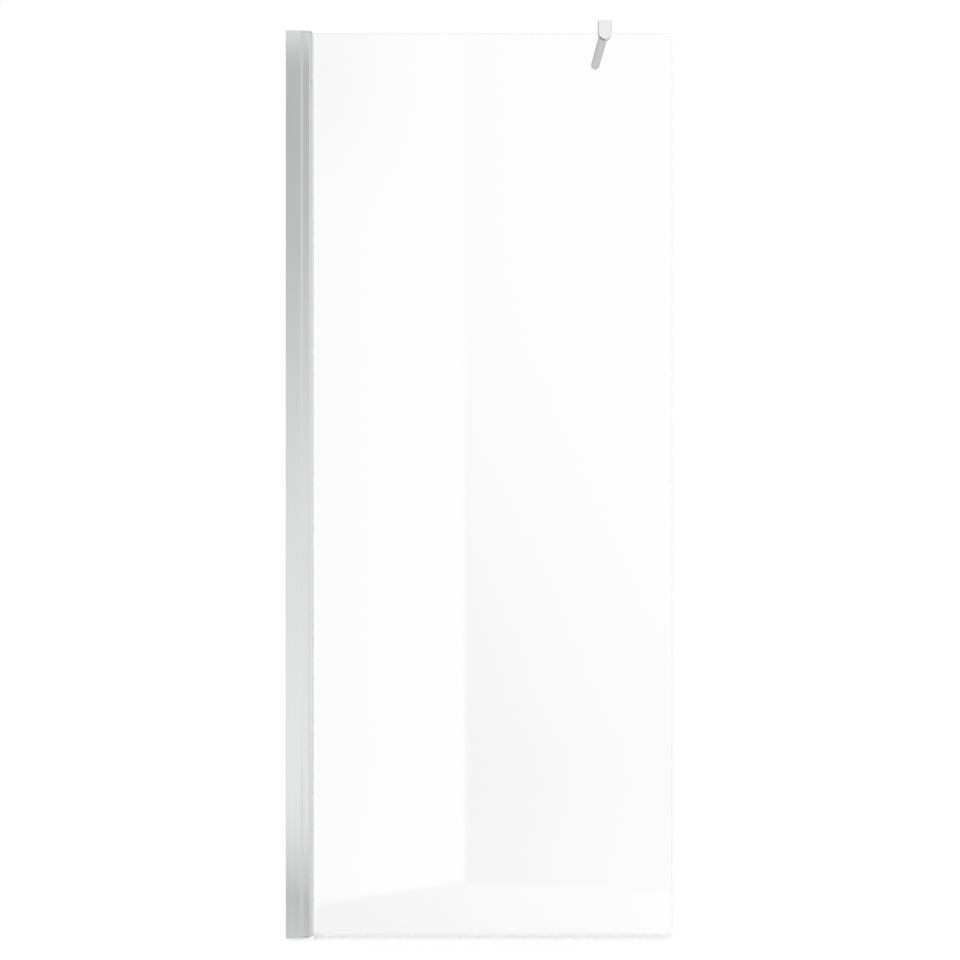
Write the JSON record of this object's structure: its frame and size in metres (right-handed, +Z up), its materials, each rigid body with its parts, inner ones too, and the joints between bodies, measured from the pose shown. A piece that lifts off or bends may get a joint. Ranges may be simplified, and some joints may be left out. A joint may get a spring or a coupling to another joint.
{
  "type": "bath screen",
  "caption": "Fixed bath screen: clear glass sheet in a slim adjustable wall channel, with a clear bottom seal and a round support bar from a clamp on its top edge to the adjoining wall.",
  "frame": {"origin": "on the wall face, at the level of the bath's rim, in the middle of the glass's thickness", "axes": "+X from the wall along the glass to its free edge, +Y towards the wall that the support bar reaches, +Z up"},
  "size_m": [0.595, 0.326, 1.417],
  "materials": {
    "aluminium": "satin silver, drawn lengthwise",
    "chrome": "polished",
    "steel": "bright",
    "clear_glass": "polished, ground edges",
    "clear_vinyl": "soft, translucent",
    "grey_plastic": "fine satin",
    "white_nylon": "smooth"
  },
  "bodies": {
    "wall_channel": {"wall_profile": "aluminium", "top_cap": "grey_plastic", "bottom_cap": "grey_plastic", "lock_screws": "steel", "lock_nuts": "steel", "cap_washers": "grey_plastic", "screw_caps": "grey_plastic"},
    "glass_carrier": {"glass_profile": "aluminium", "glass_panel": "clear_glass", "glazing_seal_front": "clear_vinyl", "glazing_seal_back": "clear_vinyl", "glazing_packers": "white_nylon", "bottom_seal": "clear_vinyl"},
    "support_arm": {"clamp_block": "chrome", "clamp_liner": "clear_vinyl", "clamp_pressure_pad": "white_nylon", "clamp_grub_screw": "steel", "bar_stud": "steel", "bar_insert": "steel", "support_bar": "chrome", "bar_sleeve": "steel", "boss_grub_screw": "steel"},
    "wall_boss": {"wall_boss": "chrome"}
  },
  "joints": [
    {"name": "width_adjust", "type": "slide", "parent": "wall_channel", "child": "glass_carrier", "axis": [1, 0, 0], "range_m": [-0.005, 0.005]},
    {"name": "clamp_slide", "type": "slide", "parent": "glass_carrier", "child": "support_arm", "axis": [1, 0, 0], "range_m": [-0.4, 0.09]},
    {"name": "boss_slide", "type": "slide", "parent": "support_arm", "child": "wall_boss", "axis": [0, 1, 0], "range_m": [0, 0.008]}
  ]
}
